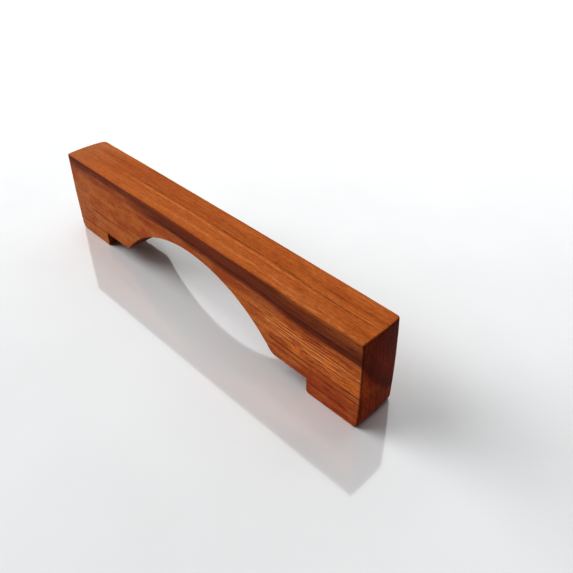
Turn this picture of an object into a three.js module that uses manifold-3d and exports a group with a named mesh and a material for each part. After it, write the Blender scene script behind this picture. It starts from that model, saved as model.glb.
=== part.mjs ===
// Arched hardwood grab rail with two brass threaded inserts, in millimetres, +Z up.
// The rail runs along X, its front face looks along -Y, and both pads stand on z = 0.

import * as THREE from "three";
import { mergeVertices } from "three/addons/utils/BufferGeometryUtils.js";
import Module from "manifold-3d";

// ---- driving dimensions -------------------------------------------------------------------

const LENGTH = 201; // end to end, at the middle of the crowned ends
const HEIGHT = 43.8; // pad soles to top face
const MID_DEPTH = 22.4; // front to back at mid-length
const END_DEPTH = 21.6; // front to back at the ends, where the sanded faces fall away
const END_CROWN = 0.5; // how far each end face bulges between its top and bottom edges
const END_RAKE = 1.0; // how much further in each end face stands at the back than at the front

const PAD_LENGTH = 27.8; // the part of each foot that touches the deck
const PAD_HEIGHT = 7.7; // step from the pad sole up to the raised inner sole
const ARCH_SPAN = 105.5; // between the two feet, at the level of the inner soles
const ARCH_CREST = 33.1; // height of the hand gap at mid-length

// how far each rounded corner of the side view reaches along its two edges
const TOP_CORNER = 0.8;
const BOTTOM_CORNER = 2.8;
const STEP_CORNER = 1.8; // the pad's lower edge beside its step
const ARCH_CORNER = 1.6; // where the arch meets each inner sole

const INSERT_LENGTH = 12.7;
const INSERT_CREST_RADIUS = 4.75; // over the coarse wood thread
const INSERT_ROOT_RADIUS = 3.95;
const INSERT_BORE_RADIUS = 2.5; // minor radius of the M6 machine thread
const INSERT_PITCH = 1.5875; // sixteen wood threads to the inch
const INSERT_RECESS = 0.5; // the insert sits this far above the pad sole
const INSERT_CHAMFER = 0.5;
const DRIVE_SLOT_WIDTH = 1.6;
const DRIVE_SLOT_DEPTH = 2.2;

const GAP = 0.3; // between the insert's thread crests and the wood
const HOLE_DEPTH = 17; // straight part of each blind hole, which also takes the screw's tip
const DRILL_POINT_ANGLE = THREE.MathUtils.degToRad(118);

const ROUND_SEGMENTS = 32;
const CURVE_SEGMENTS = 12; // for each curve of an outline
const CUT_MARGIN = 2; // how far a cutting solid runs past the face that it cuts
const MERGE_DISTANCE = 1e-4;

// ---- derived sizes ------------------------------------------------------------------------

const PAD_CENTRE_X = (LENGTH - PAD_LENGTH) / 2;
const ARCH_RISE = ARCH_CREST - PAD_HEIGHT;
const ARCH_RADIUS = ARCH_SPAN ** 2 / (8 * ARCH_RISE) + ARCH_RISE / 2;
const ARCH_CENTRE_Z = ARCH_CREST - ARCH_RADIUS;
const HOLE_RADIUS = INSERT_CREST_RADIUS + GAP;

// ---- outlines -----------------------------------------------------------------------------

/** A point on the arch, at an angle from +X about the arch's centre. */
function archPoint(angle) {
  const x = ARCH_RADIUS * Math.cos(angle);
  const z = ARCH_CENTRE_Z + ARCH_RADIUS * Math.sin(angle);
  return [x, z];
}

/** Side view, X across and Z up: crowned ends, stepped feet and the arch between them. */
function sideOutline() {
  const end = LENGTH / 2 - END_CROWN;
  const bulge = LENGTH / 2 + END_CROWN; // control point of a curve that reaches LENGTH / 2
  const padInner = LENGTH / 2 - PAD_LENGTH;
  const springing = ARCH_SPAN / 2;
  const archStart = Math.acos(springing / ARCH_RADIUS) + ARCH_CORNER / ARCH_RADIUS;
  const shape = new THREE.Shape();
  shape.moveTo(-end, BOTTOM_CORNER);
  shape.quadraticCurveTo(-end, 0, -end + BOTTOM_CORNER, 0);
  shape.lineTo(-padInner - STEP_CORNER, 0);
  shape.quadraticCurveTo(-padInner, 0, -padInner, STEP_CORNER);
  shape.lineTo(-padInner, PAD_HEIGHT);
  shape.lineTo(-springing - ARCH_CORNER, PAD_HEIGHT);
  shape.quadraticCurveTo(-springing, PAD_HEIGHT, ...archPoint(Math.PI - archStart));
  shape.absarc(0, ARCH_CENTRE_Z, ARCH_RADIUS, Math.PI - archStart, archStart, true);
  shape.quadraticCurveTo(springing, PAD_HEIGHT, springing + ARCH_CORNER, PAD_HEIGHT);
  shape.lineTo(padInner, PAD_HEIGHT);
  shape.lineTo(padInner, STEP_CORNER);
  shape.quadraticCurveTo(padInner, 0, padInner + STEP_CORNER, 0);
  shape.lineTo(end - BOTTOM_CORNER, 0);
  shape.quadraticCurveTo(end, 0, end, BOTTOM_CORNER);
  shape.quadraticCurveTo(bulge, HEIGHT / 2, end, HEIGHT - TOP_CORNER);
  shape.quadraticCurveTo(end, HEIGHT, end - TOP_CORNER, HEIGHT);
  shape.lineTo(-end + TOP_CORNER, HEIGHT);
  shape.quadraticCurveTo(-end, HEIGHT, -end, HEIGHT - TOP_CORNER);
  shape.quadraticCurveTo(-bulge, HEIGHT / 2, -end, BOTTOM_CORNER);
  return shape;
}

/** Plan view, X across and Y to the back: bowed long sides, running past both ends. */
function planOutline() {
  const end = LENGTH / 2 + CUT_MARGIN;
  const side = END_DEPTH / 2;
  const bow = MID_DEPTH - side; // control point of a curve that reaches MID_DEPTH / 2
  const shape = new THREE.Shape();
  shape.moveTo(-end, -side);
  shape.quadraticCurveTo(0, -bow, end, -side);
  shape.lineTo(end, side);
  shape.quadraticCurveTo(0, bow, -end, side);
  return shape;
}

// ---- solids -------------------------------------------------------------------------------

const wasm = await Module();
wasm.setup();

/** A closed three.js geometry as a manifold solid. */
function solidFrom(geometry) {
  geometry.deleteAttribute("normal");
  geometry.deleteAttribute("uv");
  const merged = mergeVertices(geometry, MERGE_DISTANCE);
  return new wasm.Manifold(new wasm.Mesh({
    numProp: 3,
    vertProperties: new Float32Array(merged.attributes.position.array),
    triVerts: new Uint32Array(merged.index.array),
  }));
}

/** A manifold solid as a three.js geometry. */
function geometryFrom(solid) {
  const mesh = solid.getMesh();
  const geometry = new THREE.BufferGeometry();
  geometry.setAttribute("position", new THREE.BufferAttribute(mesh.vertProperties, 3));
  geometry.setIndex(new THREE.BufferAttribute(mesh.triVerts, 1));
  geometry.computeVertexNormals();
  return geometry;
}

/** An outline swept along +Z. */
function extruded(outline, depth) {
  const options = { depth, bevelEnabled: false, curveSegments: CURVE_SEGMENTS };
  return new THREE.ExtrudeGeometry(outline, options);
}

/** The side outline swept from front to back, deeper than the finished rail. */
function sideBlank() {
  const depth = MID_DEPTH + 2 * CUT_MARGIN;
  const geometry = extruded(sideOutline(), depth);
  geometry.rotateX(Math.PI / 2);
  geometry.translate(0, depth / 2, 0);
  rakeEnds(geometry);
  return solidFrom(geometry);
}

/** Leans both end faces in towards the back, about their front edges. */
function rakeEnds(geometry) {
  const position = geometry.attributes.position;
  for (let i = 0; i < position.count; i += 1) {
    const x = position.getX(i);
    if (Math.abs(x) > PAD_CENTRE_X) {
      const behind = (position.getY(i) + END_DEPTH / 2) / END_DEPTH;
      position.setX(i, x - Math.sign(x) * END_RAKE * behind);
    }
  }
}

/** The plan outline swept upwards, taller than the finished rail. */
function planBlank() {
  const geometry = extruded(planOutline(), HEIGHT + 2 * CUT_MARGIN);
  geometry.translate(0, 0, -CUT_MARGIN);
  return solidFrom(geometry);
}

/** A closed profile of [radius, z] pairs turned about a vertical axis at `x`. */
function turned(profile, x) {
  const points = profile.map(([radius, z]) => new THREE.Vector2(radius, z));
  const geometry = new THREE.LatheGeometry(points, ROUND_SEGMENTS);
  geometry.rotateX(Math.PI / 2);
  geometry.translate(x, 0, 0);
  return solidFrom(geometry);
}

/** The blind hole for one insert, drilled up from the pad sole. */
function insertHole(x) {
  const point = HOLE_RADIUS / Math.tan(DRILL_POINT_ANGLE / 2);
  return turned([
    [0, -CUT_MARGIN],
    [HOLE_RADIUS, -CUT_MARGIN],
    [HOLE_RADIUS, HOLE_DEPTH],
    [0, HOLE_DEPTH + point],
  ], x);
}

/** Grab rail body: one board, sawn to shape and drilled for the inserts. */
function railGeometry() {
  let rail = sideBlank().intersect(planBlank());
  for (const side of [-1, 1]) {
    rail = rail.subtract(insertHole(side * PAD_CENTRE_X));
  }
  return geometryFrom(rail);
}

/** Coarse wood thread of the insert, as a row of ridges up its outside. */
function threadProfile(bottom, top) {
  const ridges = Math.floor((top - bottom) / INSERT_PITCH);
  const start = (bottom + top - ridges * INSERT_PITCH) / 2;
  const profile = [];
  for (let ridge = 0; ridge < ridges; ridge += 1) {
    const z = start + ridge * INSERT_PITCH;
    profile.push([INSERT_ROOT_RADIUS, z]);
    profile.push([INSERT_CREST_RADIUS, z + INSERT_PITCH / 2]);
  }
  profile.push([INSERT_ROOT_RADIUS, start + ridges * INSERT_PITCH]);
  return profile;
}

/** Threaded insert: a brass bush with a wood thread, a machine bore and a driver slot. */
function insertGeometry() {
  const bottom = INSERT_RECESS;
  const top = INSERT_RECESS + INSERT_LENGTH;
  const bush = turned([
    [INSERT_BORE_RADIUS + INSERT_CHAMFER, bottom],
    [INSERT_ROOT_RADIUS, bottom],
    ...threadProfile(bottom + INSERT_CHAMFER, top - INSERT_CHAMFER),
    [INSERT_ROOT_RADIUS - INSERT_CHAMFER, top],
    [INSERT_BORE_RADIUS + INSERT_CHAMFER, top],
    [INSERT_BORE_RADIUS, top - INSERT_CHAMFER],
    [INSERT_BORE_RADIUS, bottom + INSERT_CHAMFER],
    [INSERT_BORE_RADIUS + INSERT_CHAMFER, bottom],
  ], 0);
  const slot = new THREE.BoxGeometry(4 * INSERT_CREST_RADIUS, DRIVE_SLOT_WIDTH, DRIVE_SLOT_DEPTH * 2);
  slot.translate(0, 0, bottom);
  return geometryFrom(bush.subtract(solidFrom(slot)));
}

// ---- scene --------------------------------------------------------------------------------

const timber = new THREE.MeshStandardMaterial({ color: 0xa8562a, roughness: 0.45, metalness: 0 });
const brass = new THREE.MeshStandardMaterial({ color: 0xc9a24f, roughness: 0.35, metalness: 1 });

/** A named mesh of one sub-part. */
function subPart(name, geometry, material) {
  const mesh = new THREE.Mesh(geometry, material);
  mesh.name = name;
  return mesh;
}

const group = new THREE.Group();
group.add(subPart("rail", railGeometry(), timber));
for (const [name, side] of [["left_insert", -1], ["right_insert", 1]]) {
  const insert = subPart(name, insertGeometry(), brass);
  insert.position.x = side * PAD_CENTRE_X;
  group.add(insert);
}

export default group;
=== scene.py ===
"""Looks of a teak grab rail with two brass threaded inserts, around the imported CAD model."""
import math

import bmesh
import bpy
from mathutils import Matrix, Vector, noise


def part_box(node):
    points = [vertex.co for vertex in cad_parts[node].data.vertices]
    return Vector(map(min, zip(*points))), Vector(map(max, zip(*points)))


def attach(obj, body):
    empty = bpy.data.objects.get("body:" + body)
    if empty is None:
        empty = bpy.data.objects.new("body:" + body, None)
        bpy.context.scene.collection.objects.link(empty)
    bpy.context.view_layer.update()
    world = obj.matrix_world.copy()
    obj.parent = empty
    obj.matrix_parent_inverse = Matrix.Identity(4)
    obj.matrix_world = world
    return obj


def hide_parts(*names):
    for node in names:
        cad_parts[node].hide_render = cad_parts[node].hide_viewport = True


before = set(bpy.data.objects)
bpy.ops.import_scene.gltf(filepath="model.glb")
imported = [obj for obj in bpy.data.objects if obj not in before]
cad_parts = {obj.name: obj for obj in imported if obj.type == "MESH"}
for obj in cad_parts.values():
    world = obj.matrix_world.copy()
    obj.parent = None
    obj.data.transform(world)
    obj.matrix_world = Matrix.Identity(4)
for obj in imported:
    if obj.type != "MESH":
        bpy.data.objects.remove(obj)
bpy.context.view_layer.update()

MM = 0.001
PER_MM = (1 / MM, 1 / MM, 1 / MM)  # turns a place in metres into millimetres

# ---- sizes of the rail --------------------------------------------------------------------

RAIL_LOW, RAIL_HIGH = (Vector(corner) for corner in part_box("rail"))
LENGTH = RAIL_HIGH.x - RAIL_LOW.x
HEIGHT = RAIL_HIGH.z
MID_DEPTH = RAIL_HIGH.y - RAIL_LOW.y
SIDE_BOW = 0.4 * MM  # how far each long side stands out at mid-length
END_DEPTH = MID_DEPTH - 2 * SIDE_BOW
END_CROWN = 0.5 * MM  # bulge of each end face between top and bottom
END_PILLOW = 0.5 * MM  # bulge of each end face between front and back
END_RAKE = 1.0 * MM  # how much further in each end face stands at the back
LEFT_ROUNDING = 0.5 * MM  # how much further the left end falls away at its front and back
PAD_LENGTH = 27.8 * MM
PAD_HEIGHT = 7.7 * MM
ARCH_SPAN = 105.5 * MM
ARCH_CREST = 33.1 * MM
ARCH_RISE = ARCH_CREST - PAD_HEIGHT
ARCH_RADIUS = ARCH_SPAN ** 2 / (8 * ARCH_RISE) + ARCH_RISE / 2
ARCH_CENTRE_Z = ARCH_CREST - ARCH_RADIUS

# how far each rounded corner of the side view reaches along its two edges
TOP_CORNER = 0.8 * MM
BOTTOM_CORNER = 3.4 * MM
STEP_CORNER = 1.8 * MM  # the pad's lower edge beside its step
ARCH_CORNER = 2.4 * MM  # where the arch meets each inner sole

# rounding, in plan, of the upright edges: by end (-1 left, 1 right) and face (-1 front, 1 back)
UPRIGHT_CORNERS = {(-1, 1): 2.4 * MM, (1, 1): 1.2 * MM, (-1, -1): 1.2 * MM, (1, -1): 0.3 * MM}
WIDEST_CORNER = max(UPRIGHT_CORNERS.values())

UNDER_ARRIS = 0.8 * MM  # rounding of the sanded edges of the arch and soles
ARRIS_SHARE = 0.55  # of that, on all the other sanded edges
ARRIS_ANGLE = math.radians(50)  # edges sharper than this are sanded
FACING_DOWN = -0.3  # an edge faces down if its two faces' normals add up to a Z below this
SANDING_WAVE = 0.06 * MM  # hand-sanded unevenness of the faces
SANDING_WAVE_SIZE = (18 * MM, 12 * MM, 12 * MM)  # of one wave, along X, Y and Z

# ---- sizes of the inserts -----------------------------------------------------------------

INSERT_LOW, INSERT_HIGH = (Vector(corner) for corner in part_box("right_insert"))
INSERT_X = (INSERT_LOW.x + INSERT_HIGH.x) / 2
INSERT_CREST_RADIUS = (INSERT_HIGH.x - INSERT_LOW.x) / 2
INSERT_ROOT_RADIUS = 3.95 * MM
INSERT_BORE_RADIUS = 2.5 * MM
INSERT_PITCH = 1.5875 * MM
MACHINE_PITCH = 1.0 * MM
MACHINE_THREAD_DEPTH = 0.5 * MM
INSERT_CHAMFER = 0.5 * MM
SLOT_WIDTH = 1.6 * MM
SLOT_DEPTH = 2.2 * MM
HOLE_GAP = 0.3 * MM
HOLE_DEPTH = 17 * MM
HOLE_RIM = 0.4 * MM  # depth of the countersink at the mouth of each hole
DRILL_POINT_ANGLE = math.radians(118)

# ---- fineness of the meshes ---------------------------------------------------------------

CUT_STEP = 3.0 * MM  # spacing of the cross cuts that let the faces bend
UPRIGHT_CORNER_CUTS = 8
ARCH_STEPS = 36  # for each half
END_STEPS = 16
CORNER_STEPS = 6
SMALL_CORNER_STEPS = 5
ARRIS_STEPS = 3
ROUND_SEGMENTS = 64
ROUND_ANGLES = [2 * math.pi * step / ROUND_SEGMENTS for step in range(ROUND_SEGMENTS)]
INSERT_STEPS = 72  # from the lower to the upper end
SHARP_ANGLE = math.radians(35)  # edges over this angle stay sharp


# ---- node helper --------------------------------------------------------------------------

class Graph:
    """A material's node tree, with short calls that add nodes and link them."""

    def __init__(self, name):
        self.material = bpy.data.materials.new(name)
        self.material.use_nodes = True
        self.tree = self.material.node_tree
        self.tree.nodes.clear()

    def put(self, socket, value):
        """Links the value to the socket if it is a socket, and else sets it."""
        if isinstance(value, bpy.types.NodeSocket):
            self.tree.links.new(value, socket)
        else:
            socket.default_value = value

    def add(self, kind, inputs=(), **settings):
        """A new node with these settings and inputs."""
        node = self.tree.nodes.new(kind)
        for key, value in settings.items():
            setattr(node, key, value)
        for key, value in dict(inputs).items():
            self.put(node.inputs[key], value)
        return node

    def math(self, operation, *values):
        """A number made by one operation of the Math node."""
        return self.add("ShaderNodeMath", enumerate(values), operation=operation).outputs[0]

    def times(self, product, *factors):
        """The product of all the numbers."""
        for factor in factors:
            product = self.math("MULTIPLY", product, factor)
        return product

    def split(self, vector):
        """The three components of a vector."""
        return self.add("ShaderNodeSeparateXYZ", {0: vector}).outputs

    def join(self, x, y, z):
        """A vector, or a colour, from its three components."""
        return self.add("ShaderNodeCombineXYZ", {0: x, 1: y, 2: z}).outputs[0]

    def scaled(self, vector, scale):
        """The vector times `scale`, which is a triple."""
        return self.add("ShaderNodeVectorMath", {0: vector, 1: scale}, operation="MULTIPLY").outputs[0]

    def noise(self, vector, scale, detail=2.0, roughness=0.5):
        """Noise from 0 to 1. `scale` is a triple, the waves in one unit of the vector along each axis."""
        inputs = {
            "Vector": self.scaled(vector, scale),
            "Scale": 1.0,
            "Detail": detail,
            "Roughness": roughness,
        }
        return self.add("ShaderNodeTexNoise", inputs).outputs[0]

    def smooth(self, value, low, high, to_low=0.0, to_high=1.0):
        """A smooth step: `to_low` below `low`, `to_high` above `high`."""
        inputs = {
            "Value": value,
            "From Min": low,
            "From Max": high,
            "To Min": to_low,
            "To Max": to_high,
        }
        return self.add("ShaderNodeMapRange", inputs, interpolation_type="SMOOTHSTEP").outputs[0]

    def fall(self, value, low, high):
        """A smooth step down: 1 below `low`, 0 above `high`."""
        return self.smooth(value, low, high, 1.0, 0.0)

    def between(self, factor, first, second):
        """A plain number between `first` and `second`."""
        node = self.add("ShaderNodeMix", {0: factor, 2: first, 3: second}, data_type="FLOAT")
        return node.outputs[0]

    def ramp(self, factor, stops, interpolation="LINEAR"):
        """A colour ramp through (position, colour) stops."""
        node = self.add("ShaderNodeValToRGB", {"Fac": factor})
        ramp = node.color_ramp
        ramp.interpolation = interpolation
        while len(ramp.elements) < len(stops):
            ramp.elements.new(0.5)
        for element, (position, colour) in zip(ramp.elements, stops):
            element.position = position
            element.color = (*colour, 1.0)
        return node.outputs["Color"]

    def curve(self, value, points):
        """A smooth curve through (value, result) points, both from 0 to 1."""
        node = self.add("ShaderNodeFloatCurve", {"Value": value})
        curve = node.mapping.curves[0]
        for _ in points[2:]:
            curve.points.new(0.5, 0.5)
        for point, place in zip(curve.points, points):
            point.location = place
        node.mapping.update()
        return node.outputs[0]

    def mix(self, factor, first, second, blend_type="MIX"):
        """A colour between `first` and `second`."""
        node = self.add("ShaderNodeMix", data_type="RGBA", blend_type=blend_type)
        self.put(node.inputs[0], factor)
        for socket, value in ((node.inputs[6], first), (node.inputs[7], second)):
            self.put(socket, value if isinstance(value, bpy.types.NodeSocket) else (*value, 1.0))
        return node.outputs[2]

    def multiplied(self, factor, first, second):
        """The colour `first`, multiplied by `second` as far as the factor says."""
        return self.mix(factor, first, second, "MULTIPLY")

    def bump(self, height, strength, distance):
        """A normal bent by a height, with the distance in metres."""
        inputs = {"Strength": strength, "Distance": distance, "Height": height}
        return self.add("ShaderNodeBump", inputs).outputs[0]

    def shade(self, **values):
        """Ends the material in a Principled shader with these inputs."""
        shader = self.add("ShaderNodeBsdfPrincipled")
        for key, value in values.items():
            self.put(shader.inputs[key.replace("_", " ")], value)
        output = self.add("ShaderNodeOutputMaterial")
        self.put(output.inputs["Surface"], shader.outputs[0])
        return self.material


def srgb(red, green, blue):
    """A colour from 0 to 255 display values, as the linear triple that shaders use."""
    def linear(value):
        value /= 255
        return value / 12.92 if value <= 0.04045 else ((value + 0.055) / 1.055) ** 2.4
    return linear(red), linear(green), linear(blue)


# ---- colours of the timber ----------------------------------------------------------------

RING_TONES = [
    (0.32, srgb(168, 88, 40)),
    (0.47, srgb(180, 98, 43)),
    (0.60, srgb(190, 109, 53)),
    (0.74, srgb(174, 92, 41)),
]
GOLDEN = srgb(174, 110, 68)  # towards the left end
AMBER = srgb(220, 122, 56)  # on the upper part of the right foot
RUSSET = srgb(168, 74, 38)  # low on the right foot
BLUSH = srgb(164, 80, 37)  # along the lower edge of the streak
RED_BLOTCH = srgb(160, 74, 42)
YELLOW_BLOTCH = srgb(188, 120, 70)
BAND_SHADE = srgb(136, 66, 30)
BAND_LIGHT = srgb(216, 138, 74)
FIBRE_SHADE = srgb(110, 48, 22)
FIBRE_LIGHT = srgb(222, 142, 78)
DASH = srgb(104, 44, 20)
LIGHT_LINE = srgb(228, 152, 90)
DARK_LINE = srgb(88, 36, 17)
STREAK = srgb(104, 47, 31)
STREAK_SHADE = srgb(72, 29, 16)
STREAK_LIGHT = srgb(128, 62, 36)
STREAK_LINE = srgb(62, 24, 14)
PORE = srgb(90, 38, 18)
# darkens the upright edges at both ends, and paints shade on the undersides
EDGE_DARK_AND_UNDER_SHADE = srgb(70, 28, 15)

# what the end grain multiplies the timber by
RIGHT_END_LOW = srgb(218, 164, 112)  # below the streak
RIGHT_END_STREAK = srgb(170, 106, 70)  # in the streak
RIGHT_END_HIGH_SHADED = srgb(140, 80, 48)  # in the layers high above it, darkened further by painted shade
LEFT_END = srgb(188, 160, 142)

# ---- sizes of the timber's patterns -------------------------------------------------------

# Waves in a millimetre: along X, across the growth layers, and from front to back.
RING_WAVES = (0.006, 0.13, 0.02)
BAND_WAVES = (0.012, 1.0, 0.2)
FIBRE_WAVES = (0.03, 2.3, 0.7)
DASH_WAVES = (0.11, 1.9, 0.6)
LINE_BREAK_WAVES = (0.2, 0.7, 0.2)
FRAY_WAVES = (0.03, 0.8, 0.3)  # at the streak's edges

# Waves in a millimetre along X, Y and Z.
RIPPLE_WAVES = (0.05, 0.1, 0.1)  # of the layers themselves
BLOTCH_WAVES = (0.09, 0.22, 0.22)
FLECK_WAVES = (0.6, 1.7, 1.7)
PORE_WAVES = (0.25, 3.0, 3.0)
SCORE_WAVES = (0.1, 1.5, 0.05)  # upright saw scores on the end grain
DIRT_WAVES = (0.2, 0.2, 0.2)

# ---- course of the grain ------------------------------------------------------------------

# Growth layers lie along X and slope down to the back, as arcs of the tree's rings. A layer is
# named by the height, in millimetres, at which it meets the front face.
LAYER_SLOPE = 1.9  # rise in layer for each millimetre behind the front face
LAYER_BEND = -0.035  # how that rise falls off further back
FRONT_Y = -END_DEPTH / 2 / MM
HALF_LENGTH = LENGTH / 2 / MM

# A dark streak runs from end to end. These are (place along the rail, height) pairs from 0 to 1,
# and the heights run from STREAK_BASE over STREAK_RANGE millimetres.
STREAK_BASE = 30.0
STREAK_RANGE = 15.0
STREAK_COURSE = [
    (0.00, 0.23), (0.10, 0.23), (0.20, 0.27), (0.32, 0.35), (0.45, 0.375), (0.52, 0.34), (0.60, 0.30),
    (0.70, 0.29), (0.76, 0.24), (0.84, 0.14), (0.90, 0.13), (0.96, 0.14), (1.00, 0.17),
]
SWAY_ZERO = 38.0  # height of the streak at which it doesn't move the grain above it
GRAIN_SWAY = 0.55  # how much of the streak's course that grain follows
STRAIGHT_LAYERS = (22.0, 42.0)  # below the first the grain runs straight, above the second it sways
RIPPLE_SHARE = 0.6  # how much of the streak's ripple the grain follows

# The streak ends above at a layer that varies along the rail. These are (place along the rail,
# drop) pairs from 0 to 1, and the drops run from STREAK_CEILING down over STREAK_CEILING_RANGE.
STREAK_CEILING = 50.0
STREAK_CEILING_RANGE = 6.0
STREAK_TOP = [(0.00, 0.99), (0.25, 0.97), (0.32, 0.88), (0.45, 0.86), (0.56, 0.93), (1.00, 1.00)]

# The streak's profile: (height over its lower edge, darkness) pairs from 0 to 1, and the heights
# run over STREAK_HEIGHT millimetres. It is a soft shadow on the left, has a sharp edge in the
# middle and a broad core on the right.
STREAK_HEIGHT = 10.0
SOFT_STREAK = [
    (0.0, 0.0), (0.18, 0.1), (0.33, 0.22), (0.48, 0.38), (0.63, 0.62), (0.78, 0.86),
    (0.93, 1.0), (1.0, 1.0),
]
SHARP_STREAK = [
    (0.0, 0.0), (0.08, 0.3), (0.16, 0.65), (0.24, 0.95), (0.3, 1.0), (0.4, 0.88),
    (0.6, 0.86), (1.0, 0.9),
]
BROAD_STREAK = [
    (0.0, 0.0), (0.06, 0.35), (0.18, 0.82), (0.3, 1.0), (0.4, 1.0), (0.5, 0.9), (0.65, 0.76),
    (0.8, 0.68), (0.92, 0.48), (1.0, 0.45),
]

# Single lines of the grain: layer, first and last X, half width (all in millimetres), strength.
DARK_LINES = [
    (62.5, -62, -8, 0.40, 0.45),
    (62.7, 8, 96, 0.40, 0.55),
    (55.4, 28, 46, 0.35, 0.5),
    (67.0, 5, 60, 0.30, 0.35),
    (52.6, 60, 84, 0.30, 0.4),
    (34.2, -36, -26, 0.40, 0.7),
    (30.4, -72, -62, 0.35, 0.5),
    (17.6, -82, -42, 0.45, 0.7),
    (31.6, -70, -50, 0.35, 0.5),
    (12.4, -96, -80, 0.40, 0.4),
    (7.2, -100, -82, 0.50, 0.5),
    (29.6, 40, 96, 0.22, 0.7),
    (27.9, 48, 98, 0.22, 0.8),
    (26.0, 52, 92, 0.20, 0.7),
    (24.4, 56, 99, 0.22, 0.8),
    (23.4, 46, 80, 0.18, 0.6),
    (21.6, 58, 96, 0.22, 0.8),
    (19.8, 62, 90, 0.25, 0.7),
    (18.4, 52, 88, 0.20, 0.6),
    (16.4, 50, 99, 0.35, 0.9),
    (13.2, 60, 97, 0.25, 0.6),
    (10.4, 66, 92, 0.22, 0.5),
    (6.6, 72, 100, 0.35, 0.8),
    (27.6, 95, 99, 0.60, 0.9),
    (25.4, 96, 99, 0.50, 0.9),
    (22.6, 95, 99, 0.30, 0.7),
]
LIGHT_LINES = [
    (53.4, -20, 90, 1.6, 0.30),
    (60.9, -45, 70, 0.42, 0.5),
    (49.0, 50, 100, 1.5, 0.4),
    (27.0, 50, 96, 0.30, 0.9),
    (25.1, 46, 90, 0.35, 0.9),
    (22.5, 55, 98, 0.40, 0.9),
    (28.8, 44, 90, 0.25, 0.5),
    (20.7, 50, 92, 0.25, 0.5),
]
STREAK_LINES = [
    (42.9, -94, -36, 0.50, 0.6),
    (42.6, -38, 4, 0.35, 0.6),
    (39.4, -22, 58, 0.30, 0.7),
    (41.0, -30, 20, 0.25, 0.4),
    (38.2, 60, 97, 0.35, 0.7),
    (36.4, 62, 92, 0.30, 0.6),
    (41.6, 66, 99, 0.25, 0.6),
]
LINE_FADE = 6.0  # half of the distance over which a line dies out at each end


# ---- timber -------------------------------------------------------------------------------

class GrainSpace:
    """Places in the timber, in millimetres, as sockets of a material's node tree."""

    def __init__(self, g):
        coordinates = g.add("ShaderNodeTexCoord")
        self.place = g.scaled(coordinates.outputs["Object"], PER_MM)
        self.x, self.y, self.z = g.split(self.place)
        # from 0 at the left end to 1 at the right end
        self.along = g.math("MULTIPLY_ADD", self.x, 0.5 / HALF_LENGTH, 0.5)
        # distance behind the front face
        self.back = g.math("SUBTRACT", self.y, FRONT_Y)
        slope = g.math("MULTIPLY_ADD", self.back, LAYER_BEND, LAYER_SLOPE)
        self.layer = g.math("MULTIPLY_ADD", self.back, slope, self.z)

        # height over the streak's lower edge
        course = g.curve(self.along, STREAK_COURSE)
        streak_low = g.math("MULTIPLY_ADD", course, STREAK_RANGE, STREAK_BASE)
        ripple = g.math("MULTIPLY_ADD", g.noise(self.place, RIPPLE_WAVES), 1.0, -0.5)
        self.level = g.math("ADD", g.math("SUBTRACT", self.layer, streak_low), ripple)

        # layer that the grain follows, and the space in which its noise is drawn out along X
        sway = g.math("SUBTRACT", SWAY_ZERO, streak_low)
        share = g.smooth(self.layer, *STRAIGHT_LAYERS, 0.0, GRAIN_SWAY)
        straight = g.math("MULTIPLY_ADD", sway, share, self.layer)
        self.follow = g.math("MULTIPLY_ADD", ripple, RIPPLE_SHARE, straight)
        self.grain = g.join(self.x, self.follow, self.y)

        # how much of the surface here is cut across the grain, and how far it faces up
        facing_x, _, self.facing_up = g.split(coordinates.outputs["Normal"])
        self.end_grain = g.smooth(g.math("ABSOLUTE", facing_x), 0.45, 0.95)


class GrainMasks:
    """Patterns that run with the grain, each from 0 to 1."""

    def __init__(self, g, wood):
        self.bands = g.noise(wood.grain, BAND_WAVES, 3.0, 0.66)
        self.bright = g.smooth(self.bands, 0.54, 0.70)
        self.dim = g.fall(self.bands, 0.34, 0.48)
        fibres = g.noise(wood.grain, FIBRE_WAVES, 2.0, 0.6)
        self.fibre = g.fall(fibres, 0.36, 0.43)
        self.gleam = g.smooth(fibres, 0.57, 0.66)
        dashes = g.noise(wood.grain, DASH_WAVES, 2.0, 0.55)
        self.dash = g.fall(dashes, 0.33, 0.41)
        pores = g.noise(wood.place, PORE_WAVES, 1.0)
        self.pore = g.fall(pores, 0.30, 0.38)


def ring_colour(g, wood):
    """Orange-brown timber whose tone follows the growth layers."""
    rings = g.noise(wood.grain, RING_WAVES)
    timber = g.ramp(rings, RING_TONES, "B_SPLINE")
    golden = g.smooth(wood.along, 0.0, 0.16, 0.55, 0.0)
    timber = g.mix(golden, timber, GOLDEN)
    right = g.smooth(wood.along, 0.66, 0.82)
    amber = g.times(right, g.smooth(wood.z, 13.0, 20.0), g.smooth(wood.layer, 30.0, 34.0, 0.9, 0.0))
    timber = g.mix(amber, timber, AMBER)
    low_right = g.times(right, g.smooth(wood.z, 9.0, 19.0, 0.9, 0.0))
    timber = g.mix(low_right, timber, RUSSET)
    fade_in = g.smooth(wood.along, 0.22, 0.36, 0.25, 0.8)
    blush = g.times(fade_in, g.smooth(wood.level, -6.0, -1.0), g.fall(wood.level, 2.0, 8.0))
    return g.mix(blush, timber, BLUSH)


def with_blotches(g, wood, timber):
    """Redder and yellower blotches, mostly in the lower layers."""
    blotches = g.noise(wood.place, BLOTCH_WAVES, 3.0, 0.6)
    low = g.smooth(wood.layer, 38.0, 46.0, 0.7, 0.2)
    red = g.times(g.smooth(blotches, 0.50, 0.62), low)
    timber = g.mix(red, timber, RED_BLOTCH)
    yellow = g.times(g.smooth(blotches, 0.38, 0.50, 0.65, 0.0), low)
    return g.mix(yellow, timber, YELLOW_BLOTCH)


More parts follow.
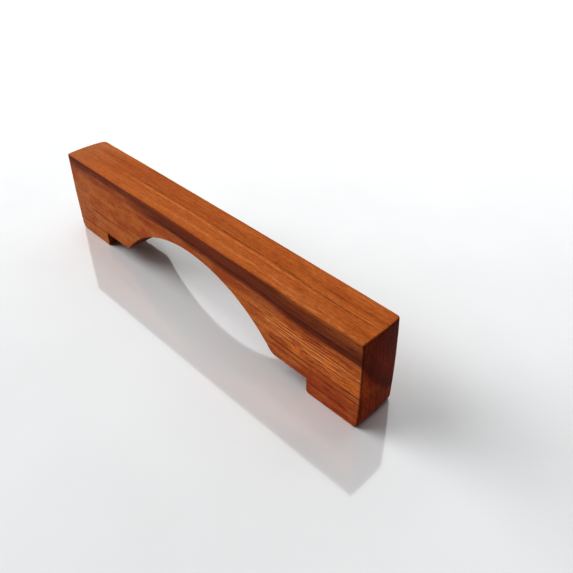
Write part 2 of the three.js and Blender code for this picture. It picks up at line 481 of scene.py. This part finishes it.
def with_bands_and_fibres(g, wood, masks, timber):
    """Bands, thin fibres and short dashes, all stronger to the right and in the lower layers."""
    to_right = g.smooth(wood.along, 0.55, 0.85, 0.7, 1.0)
    strength = g.times(to_right, g.smooth(wood.layer, 42.0, 48.0, 1.0, 0.8))
    layers = [
        (masks.dim, 0.35, BAND_SHADE),
        (masks.bright, 0.4, BAND_LIGHT),
        (masks.fibre, 0.5, FIBRE_SHADE),
        (masks.gleam, 0.35, FIBRE_LIGHT),
    ]
    for mask, share, colour in layers:
        timber = g.mix(g.times(mask, strength, share), timber, colour)
    to_right = g.smooth(wood.along, 0.62, 0.8, 0.25, 0.75)
    dashed = g.times(to_right, g.smooth(wood.layer, 42.0, 48.0, 1.0, 0.45))
    return g.mix(g.times(masks.dash, dashed), timber, DASH)


def single_lines(g, wood, lines):
    """How strongly a place lies on one of the lines, from 0 to 1."""
    broken = g.smooth(g.noise(wood.grain, LINE_BREAK_WAVES), 0.38, 0.58, 0.15, 1.0)
    total = 0.0
    for layer, first, last, half_width, strength in lines:
        apart = g.math("ABSOLUTE", g.math("SUBTRACT", wood.follow, layer))
        core = g.smooth(apart, 0.3 * half_width, 1.5 * half_width, strength, 0.0)
        opening = g.smooth(wood.x, first - LINE_FADE, first + LINE_FADE)
        closing = g.fall(wood.x, last - LINE_FADE, last + LINE_FADE)
        total = g.math("MAXIMUM", total, g.times(opening, closing, core))
    return g.times(total, broken)


def streak_darkness(g, wood):
    """How dark the streak is at a place, from 0 to 1."""
    fray = g.math("MULTIPLY_ADD", g.noise(wood.grain, FRAY_WAVES, 3.0, 0.6), 0.3, -0.15)
    rise = g.math("MULTIPLY_ADD", wood.level, 1 / STREAK_HEIGHT, fray)
    soft = g.curve(rise, SOFT_STREAK)
    sharp = g.curve(rise, SHARP_STREAK)
    broad = g.curve(rise, BROAD_STREAK)
    darkness = g.between(g.smooth(wood.along, 0.22, 0.40), soft, sharp)
    darkness = g.between(g.smooth(wood.along, 0.76, 0.83), darkness, broad)
    top = g.math("MULTIPLY_ADD", g.curve(wood.along, STREAK_TOP), -STREAK_CEILING_RANGE, STREAK_CEILING)
    return g.times(darkness, g.fall(g.math("SUBTRACT", wood.layer, top), -0.8, 0.8))


def with_streak(g, wood, masks, timber):
    """The dark streak, which shows less in the end grain."""
    streak = g.mix(masks.dim, STREAK, STREAK_SHADE)
    light = g.times(g.math("MAXIMUM", masks.bright, masks.gleam), 0.6)
    streak = g.mix(light, streak, STREAK_LIGHT)
    cover = g.times(streak_darkness(g, wood), g.math("MULTIPLY_ADD", wood.end_grain, -0.75, 1.0))
    timber = g.mix(cover, timber, streak)
    return g.mix(single_lines(g, wood, STREAK_LINES), timber, STREAK_LINE)


def with_flecks_and_pores(g, wood, masks, timber):
    """Light and dark flecks, and pores as short dark dashes along X."""
    mottle = g.smooth(g.noise(wood.place, FLECK_WAVES, 2.0, 0.7), 0.3, 0.7, 0.88, 1.11)
    timber = g.multiplied(1.0, timber, g.join(mottle, mottle, mottle))
    return g.mix(g.times(masks.pore, 0.4), timber, PORE)


def end_grain_tint(g, wood):
    """What the end grain, which soaks up more oil, multiplies the timber by, with painted shade added
    high on the right end.
    """
    soaked_and_shaded = g.mix(g.smooth(wood.level, -1.5, 2.5), RIGHT_END_LOW, RIGHT_END_STREAK)
    # painted shade: the layers high on the right end are darkened beyond the end grain's own tone
    soaked_and_shaded = g.mix(g.smooth(wood.level, 8.0, 34.0), soaked_and_shaded, RIGHT_END_HIGH_SHADED)
    soaked_and_shaded = g.mix(g.smooth(wood.along, 0.3, 0.7), LEFT_END, soaked_and_shaded)
    scores = g.smooth(g.noise(wood.place, SCORE_WAVES, 3.0, 0.65), 0.38, 0.62, 0.66, 1.28)
    return g.multiplied(1.0, soaked_and_shaded, g.join(scores, scores, scores))


def edge_darkening_and_under_shade(g, wood):
    """Darker along the upright edges at both ends, and painted shade on all undersides that face down,
    from 0 to 1.
    """
    aloft = g.math("MULTIPLY_ADD", wood.z, 2 * MM / HEIGHT, -1.0)
    crown = g.times(aloft, aloft, END_CROWN / MM)
    to_end = g.math("SUBTRACT", HALF_LENGTH, g.math("ADD", crown, g.math("ABSOLUTE", wood.x)))
    on_long_faces = g.fall(to_end, 0.3, 0.9)
    on_end_faces = g.fall(wood.back, 0.3, 1.0)
    upright = g.between(wood.end_grain, on_long_faces, on_end_faces)
    # painted shade: surfaces that face down are darkened
    painted_underside_shade = g.fall(wood.facing_up, -0.7, -0.2)
    patchy = g.smooth(g.noise(wood.place, DIRT_WAVES), 0.3, 0.5, 0.6, 1.0)
    return g.times(g.math("MAXIMUM", upright, painted_underside_shade), patchy)


def timber_material():
    """Oiled teak, with its grain carried through the solid."""
    g = Graph("oiled_teak")
    wood = GrainSpace(g)
    masks = GrainMasks(g, wood)
    timber = ring_colour(g, wood)
    timber = with_blotches(g, wood, timber)
    timber = with_bands_and_fibres(g, wood, masks, timber)
    timber = g.mix(single_lines(g, wood, LIGHT_LINES), timber, LIGHT_LINE)
    timber = g.mix(single_lines(g, wood, DARK_LINES), timber, DARK_LINE)
    timber = with_streak(g, wood, masks, timber)
    timber = with_flecks_and_pores(g, wood, masks, timber)
    timber = g.multiplied(wood.end_grain, timber, end_grain_tint(g, wood))
    # painted shade on the undersides, and darker upright edges at both ends
    timber = g.mix(g.times(edge_darkening_and_under_shade(g, wood), 0.65), timber, EDGE_DARK_AND_UNDER_SHADE)
    height = g.math("MULTIPLY_ADD", masks.pore, -0.7, g.times(masks.bands, 0.5))
    return g.shade(
        Base_Color=timber,
        Roughness=g.math("MULTIPLY_ADD", masks.bands, 0.12, 0.36),
        Normal=g.bump(height, strength=0.25, distance=0.1 * MM),
        Specular_IOR_Level=0.02,
        Specular_Tint=(1.0, 0.6, 0.4, 1.0),
    )


# ---- mesh helpers -------------------------------------------------------------------------

def new_object(name, data):
    """A new object in the scene."""
    piece = bpy.data.objects.new(name, data)
    bpy.context.scene.collection.objects.link(piece)
    return piece


def object_from(name, mesh):
    """A new object with the bmesh's content, which is freed."""
    data = bpy.data.meshes.new(name)
    mesh.to_mesh(data)
    mesh.free()
    return new_object(name, data)


def apply_modifiers(piece):
    """Bakes the piece's modifiers into its mesh."""
    graph = bpy.context.evaluated_depsgraph_get()
    finished = bpy.data.meshes.new_from_object(piece.evaluated_get(graph))
    piece.modifiers.clear()
    piece.data = finished


def subtract(piece, cutter):
    """Cuts the cutter out of the piece and removes the cutter."""
    modifier = piece.modifiers.new("cut", "BOOLEAN")
    modifier.operation = "DIFFERENCE"
    modifier.solver = "EXACT"
    modifier.object = cutter
    apply_modifiers(piece)
    bpy.data.objects.remove(cutter)


def smooth_faces(piece):
    """Smooth shading that keeps sharp edges sharp and flat faces flat."""
    piece.data.shade_smooth()
    piece.data.set_sharp_from_angle(angle=SHARP_ANGLE)
    weighted = piece.modifiers.new("flat faces", "WEIGHTED_NORMAL")
    weighted.keep_sharp = True
    apply_modifiers(piece)


def paint(piece, material):
    """Gives the whole piece one material."""
    piece.data.materials.clear()
    piece.data.materials.append(material)


def ring(mesh, z, radii):
    """Vertices around Z at one height, with a radius for each of ROUND_ANGLES."""
    vertices = []
    for radius, angle in zip(radii, ROUND_ANGLES):
        vertices.append(mesh.verts.new((radius * math.cos(angle), radius * math.sin(angle), z)))
    return vertices


def skin(mesh, rings):
    """Faces between each ring and the next. A ring may be one vertex, repeated."""
    for lower, upper in zip(rings, rings[1:]):
        for step in range(ROUND_SEGMENTS):
            after = (step + 1) % ROUND_SEGMENTS
            corners = [lower[step], lower[after], upper[after], upper[step]]
            mesh.faces.new(list(dict.fromkeys(corners)))


# ---- rail mesh ----------------------------------------------------------------------------

def bend_to(points, control, end, steps):
    """Adds points on the quadratic curve from the last point to `end`."""
    start, control, end = points[-1], Vector(control), Vector(end)
    for step in range(1, steps + 1):
        t = step / steps
        points.append(start * (1 - t) ** 2 + control * (2 * t * (1 - t)) + end * t ** 2)


def arch_point(angle):
    """A point on the arch, at an angle from +X about the arch's centre."""
    return Vector((ARCH_RADIUS * math.cos(angle), ARCH_CENTRE_Z + ARCH_RADIUS * math.sin(angle)))


def half_outline():
    """The right half of the side view, as (x, z) from the arch's crest round to the top."""
    end = LENGTH / 2 - END_CROWN
    bulge = LENGTH / 2 + END_CROWN  # control point of a curve that reaches LENGTH / 2
    pad_inner = LENGTH / 2 - PAD_LENGTH
    springing = ARCH_SPAN / 2
    crest = math.pi / 2
    last = math.acos(springing / ARCH_RADIUS) + ARCH_CORNER / ARCH_RADIUS
    points = [arch_point(crest + (last - crest) * step / ARCH_STEPS) for step in range(ARCH_STEPS + 1)]
    bend_to(points, (springing, PAD_HEIGHT), (springing + ARCH_CORNER, PAD_HEIGHT), CORNER_STEPS)
    points += [Vector((pad_inner, PAD_HEIGHT)), Vector((pad_inner, STEP_CORNER))]
    bend_to(points, (pad_inner, 0), (pad_inner + STEP_CORNER, 0), SMALL_CORNER_STEPS)
    points.append(Vector((end - BOTTOM_CORNER, 0)))
    bend_to(points, (end, 0), (end, BOTTOM_CORNER), CORNER_STEPS)
    bend_to(points, (bulge, HEIGHT / 2), (end, HEIGHT - TOP_CORNER), END_STEPS)
    bend_to(points, (end, HEIGHT), (end - TOP_CORNER, HEIGHT), SMALL_CORNER_STEPS)
    return points


def side_outline():
    """The whole side view, anticlockwise from the arch's crest."""
    right = half_outline()
    left = [Vector((-point.x, point.y)) for point in reversed(right[1:])]
    return right + left


def weigh_arrises(piece):
    """Marks the sharp edges to round, with more rounding where an edge faces down."""
    mesh = bmesh.new()
    mesh.from_mesh(piece.data)
    weight = mesh.edges.layers.float.new("bevel_weight_edge")
    for edge in mesh.edges:
        if edge.calc_face_angle() > ARRIS_ANGLE:
            facing_up = sum(face.normal.z for face in edge.link_faces)
            edge[weight] = 1.0 if facing_up < FACING_DOWN else ARRIS_SHARE
    mesh.to_mesh(piece.data)
    mesh.free()


def squared_rail():
    """The side view swept from front to back, with its sharp edges rounded over."""
    mesh = bmesh.new()
    front = [mesh.verts.new((point.x, -END_DEPTH / 2, point.y)) for point in side_outline()]
    swept = bmesh.ops.extrude_face_region(mesh, geom=[mesh.faces.new(front)])["geom"]
    moved = [part for part in swept if isinstance(part, bmesh.types.BMVert)]
    bmesh.ops.translate(mesh, verts=moved, vec=(0, END_DEPTH, 0))
    bmesh.ops.recalc_face_normals(mesh, faces=mesh.faces[:])
    rail = object_from("teak_rail", mesh)
    weigh_arrises(rail)
    bevel = rail.modifiers.new("arrises", "BEVEL")
    bevel.width = UNDER_ARRIS
    bevel.segments = ARRIS_STEPS
    bevel.limit_method = "WEIGHT"
    apply_modifiers(rail)
    return rail


def cut_across(mesh, axis, low, high, spacing=CUT_STEP):
    """Adds evenly spaced edge loops along one axis, so that the faces can bend."""
    count = round((high - low) / spacing)
    for step in range(1, count):
        place = Vector()
        place[axis] = low + (high - low) * step / count
        normal = Vector()
        normal[axis] = 1
        geometry = mesh.verts[:] + mesh.edges[:] + mesh.faces[:]
        bmesh.ops.bisect_plane(mesh, geom=geometry, plane_co=place, plane_no=normal, dist=1e-6)


def end_lean(place, along, across):
    """How far out hand finishing leaves a point of an end face."""
    lean = END_PILLOW * (1 - across ** 2) - END_RAKE * (across + 1) / 2
    if along < 0:
        lean -= LEFT_ROUNDING * across ** 2
    corner = UPRIGHT_CORNERS[(1 if along > 0 else -1, 1 if across > 0 else -1)]
    inset = max(0, abs(place.y) - END_DEPTH / 2 + corner) / corner
    return lean - corner * (1 - math.sqrt(max(0, 1 - inset ** 2)))


def hand_finish(place):
    """Where sanding leaves a point of the squared-up rail."""
    across = 2 * place.y / END_DEPTH
    along = 2 * place.x / LENGTH
    pad_start = 1 - PAD_LENGTH / LENGTH
    x = place.x
    if abs(along) > pad_start:
        reach = (abs(along) - pad_start) / (1 - pad_start)
        x += math.copysign(1, along) * end_lean(place, along, across) * reach ** 2
    bow = 1 + SIDE_BOW * (1 - along ** 2) / (END_DEPTH / 2)
    wave = noise.noise(Vector([value / size for value, size in zip(place, SANDING_WAVE_SIZE)]))
    return Vector((x, place.y * bow + SANDING_WAVE * wave * across, place.z))


def bend_faces(rail):
    """Cuts the faces finely enough to bend, and finishes them by hand."""
    side = END_DEPTH / 2
    corner_step = WIDEST_CORNER / UPRIGHT_CORNER_CUTS
    mesh = bmesh.new()
    mesh.from_mesh(rail.data)
    cut_across(mesh, 0, -LENGTH / 2, LENGTH / 2)
    cut_across(mesh, 1, -side, side)
    cut_across(mesh, 1, side - WIDEST_CORNER, side, corner_step)
    cut_across(mesh, 1, -side, WIDEST_CORNER - side, corner_step)
    cut_across(mesh, 2, 0, HEIGHT)
    for vertex in mesh.verts:
        vertex.co = hand_finish(vertex.co)
    mesh.to_mesh(rail.data)
    mesh.free()


def hole_cutter(x):
    """The space that one insert and its screw need, drilled up from the pad sole."""
    radius = INSERT_CREST_RADIUS + HOLE_GAP
    tip = radius / math.tan(DRILL_POINT_ANGLE / 2)
    mesh = bmesh.new()
    rings = [
        [mesh.verts.new((0, 0, -HOLE_RIM))] * ROUND_SEGMENTS,
        ring(mesh, -HOLE_RIM, [radius + 2 * HOLE_RIM] * ROUND_SEGMENTS),
        ring(mesh, HOLE_RIM, [radius] * ROUND_SEGMENTS),
        ring(mesh, HOLE_DEPTH, [radius] * ROUND_SEGMENTS),
        [mesh.verts.new((0, 0, HOLE_DEPTH + tip))] * ROUND_SEGMENTS,
    ]
    skin(mesh, rings)
    cutter = object_from("hole_cutter", mesh)
    cutter.data.transform(Matrix.Translation((x, 0, 0)))
    return cutter


def build_rail():
    """The one board of the rail."""
    rail = squared_rail()
    bend_faces(rail)
    for side in (-1, 1):
        subtract(rail, hole_cutter(side * INSERT_X))
    smooth_faces(rail)
    paint(rail, timber_material())
    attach(rail, "root")
    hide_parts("rail")


# ---- inserts ------------------------------------------------------------------------------

TARNISH_WAVES = (0.35, 0.35, 0.35)  # in a millimetre
TOOL_MARK_WAVES = (0.5, 0.5, 14.0)
BRASS_TONES = [
    (0.35, srgb(150, 108, 48)),
    (0.55, srgb(206, 168, 92)),
    (0.75, srgb(224, 188, 112)),
]


def brass_material():
    """Turned brass with cloudy tarnish and fine tool marks."""
    g = Graph("turned_brass")
    place = g.scaled(g.add("ShaderNodeTexCoord").outputs["Object"], PER_MM)
    patches = g.noise(place, TARNISH_WAVES, 4.0, 0.6)
    tool_marks = g.noise(place, TOOL_MARK_WAVES, 3.0, 0.7)
    return g.shade(
        Base_Color=g.ramp(patches, BRASS_TONES),
        Metallic=1.0,
        Roughness=g.math("MULTIPLY_ADD", patches, -0.35, 0.48),
        Normal=g.bump(tool_marks, strength=0.3, distance=0.03 * MM),
    )


def thread_height(z, angle, pitch):
    """Height of a V thread from 0 to 1 at a height and an angle."""
    turn = (z / pitch - angle / (2 * math.pi)) % 1
    return 1 - abs(2 * turn - 1)


def insert_radius(z, angle, outside):
    """Radius of the insert's outside or bore, with its thread faded out at both chamfers."""
    edge = min(z - INSERT_LOW.z, INSERT_HIGH.z - z)
    fade = min(1, edge / (2 * INSERT_CHAMFER))
    chamfer = max(0, INSERT_CHAMFER - edge)
    if outside:
        ridge = (INSERT_CREST_RADIUS - INSERT_ROOT_RADIUS) * fade * thread_height(z, angle, INSERT_PITCH)
        return INSERT_ROOT_RADIUS + ridge - chamfer
    groove = MACHINE_THREAD_DEPTH * fade * thread_height(z, angle, MACHINE_PITCH)
    return INSERT_BORE_RADIUS + groove + chamfer


def slot_cutter():
    """A bar across the insert's lower end, which cuts the driver slot."""
    mesh = bmesh.new()
    bmesh.ops.create_cube(mesh, size=1)
    size = Vector((4 * INSERT_CREST_RADIUS, SLOT_WIDTH, 2 * SLOT_DEPTH))
    bmesh.ops.scale(mesh, verts=mesh.verts[:], vec=size)
    bmesh.ops.translate(mesh, verts=mesh.verts[:], vec=(0, 0, INSERT_LOW.z))
    return object_from("slot_cutter", mesh)


def build_insert(name, node, x, material):
    """A brass bush, with its section going up the outside and down the bore."""
    low, high = INSERT_LOW.z, INSERT_HIGH.z
    levels = [low + (high - low) * step / INSERT_STEPS for step in range(INSERT_STEPS + 1)]
    section = [(z, True) for z in levels] + [(z, False) for z in reversed(levels)]
    mesh = bmesh.new()
    rings = []
    for z, outside in section:
        rings.append(ring(mesh, z, [insert_radius(z, angle, outside) for angle in ROUND_ANGLES]))
    skin(mesh, rings + rings[:1])
    insert = object_from(name, mesh)
    subtract(insert, slot_cutter())
    insert.data.transform(Matrix.Translation((x, 0, 0)))
    smooth_faces(insert)
    paint(insert, material)
    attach(insert, "root")
    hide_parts(node)


# ---- floor, light and camera --------------------------------------------------------------

TABLE_TONES = [(0.3, srgb(219, 221, 222)), (0.7, srgb(225, 227, 228))]
TABLE_HALF_WIDTH = 3.0  # metres
HAZE_WAVES = (9, 9, 9)  # in a metre


def build_floor():
    """A glossy white table, with a faint haze."""
    g = Graph("white_table")
    haze = g.noise(g.add("ShaderNodeTexCoord").outputs["Object"], HAZE_WAVES, 3.0, 0.6)
    material = g.shade(Base_Color=g.ramp(haze, TABLE_TONES), Roughness=0.08, IOR=1.96)
    mesh = bmesh.new()
    bmesh.ops.create_grid(mesh, x_segments=2, y_segments=2, size=TABLE_HALF_WIDTH)
    floor = object_from("table", mesh)
    paint(floor, material)


# Soft boxes around the rail: azimuth from +X and elevation in degrees, distance, width and
# height in metres, and power in watts.
SOFT_BOXES = [
    (0, 70, 1.6, 1.0, 1.0, 2.8),
    (110, 38, 2.4, 3.6, 2.8, 25),
    (150, 82, 1.6, 1.0, 1.0, 3.4),
    (200, 20, 2.4, 1.5, 1.5, 42),
    (215, 45, 2.4, 1.5, 1.5, 33),
]
ROOM_BRIGHTNESS = 2.0  # of the white surround, which only the camera and glossy surfaces show
BACKGROUND_LAMP = Vector((0.05, 0.42, 1.4))  # shines straight down on the table behind the rail
BACKGROUND_LAMP_RADIUS = 0.1
BACKGROUND_POWER = 16
BACKGROUND_CONE = math.radians(40)


def add_lamp(name, light, place):
    """A lamp that is kept out of the picture and out of reflections."""
    lamp = new_object(name, light)
    lamp.location = place
    lamp.visible_camera = False
    lamp.visible_glossy = False
    return lamp


def add_soft_box(azimuth, elevation, distance, width, height, power):
    """A rectangular lamp that faces the origin."""
    turn, lift = math.radians(azimuth), math.radians(elevation)
    level = math.cos(lift)
    way = Vector((level * math.cos(turn), level * math.sin(turn), math.sin(lift)))
    light = bpy.data.lights.new("soft_box", "AREA")
    light.shape = "RECTANGLE"
    light.size, light.size_y = width, height
    light.energy = power
    lamp = add_lamp("soft_box", light, way * distance)
    lamp.rotation_euler = (-way).to_track_quat("-Z", "Y").to_euler()


def add_background_lamp():
    """A soft spot lamp that lightens the far part of the table."""
    light = bpy.data.lights.new("background_lamp", "SPOT")
    light.energy = BACKGROUND_POWER
    light.spot_size = BACKGROUND_CONE
    light.spot_blend = 1.0
    light.shadow_soft_size = BACKGROUND_LAMP_RADIUS
    add_lamp("background_lamp", light, BACKGROUND_LAMP)


def build_lights():
    """The white surround and all the lamps."""
    world = bpy.data.worlds.new("studio")
    world.use_nodes = True
    background = world.node_tree.nodes["Background"]
    background.inputs["Color"].default_value = (1, 1, 1, 1)
    background.inputs["Strength"].default_value = ROOM_BRIGHTNESS
    world.cycles_visibility.diffuse = False
    bpy.context.scene.world = world
    for row in SOFT_BOXES:
        add_soft_box(*row)
    add_background_lamp()


CAMERA_PLACE = Vector((0.2045, -0.1474, 0.2060))  # metres
CAMERA_AIM = Vector((0.0180, 0.0310, 0.0004))
CAMERA_ROLL = math.radians(-0.52)
CAMERA_LENS = 42.63  # millimetres
CAMERA_SENSOR = 36  # width, in millimetres
DISPLAY_GAMMA = 0.85  # darkens the middle tones a little


def build_camera():
    """A camera that looks down on the front and the right end."""
    data = bpy.data.cameras.new("camera")
    data.lens = CAMERA_LENS
    data.sensor_width = CAMERA_SENSOR
    camera = new_object("camera", data)
    look = (CAMERA_AIM - CAMERA_PLACE).to_track_quat("-Z", "Y").to_matrix().to_4x4()
    camera.matrix_world = Matrix.Translation(CAMERA_PLACE) @ look @ Matrix.Rotation(CAMERA_ROLL, 4, "Z")
    bpy.context.scene.camera = camera


# ---- making -------------------------------------------------------------------------------

build_camera()
build_lights()
build_floor()
build_rail()
brass = brass_material()
build_insert("brass_insert_left", "left_insert", -INSERT_X, brass)
build_insert("brass_insert_right", "right_insert", INSERT_X, brass)
view = bpy.context.scene.view_settings
view.view_transform = "Standard"
view.gamma = DISPLAY_GAMMA

bpy.context.view_layer.update()
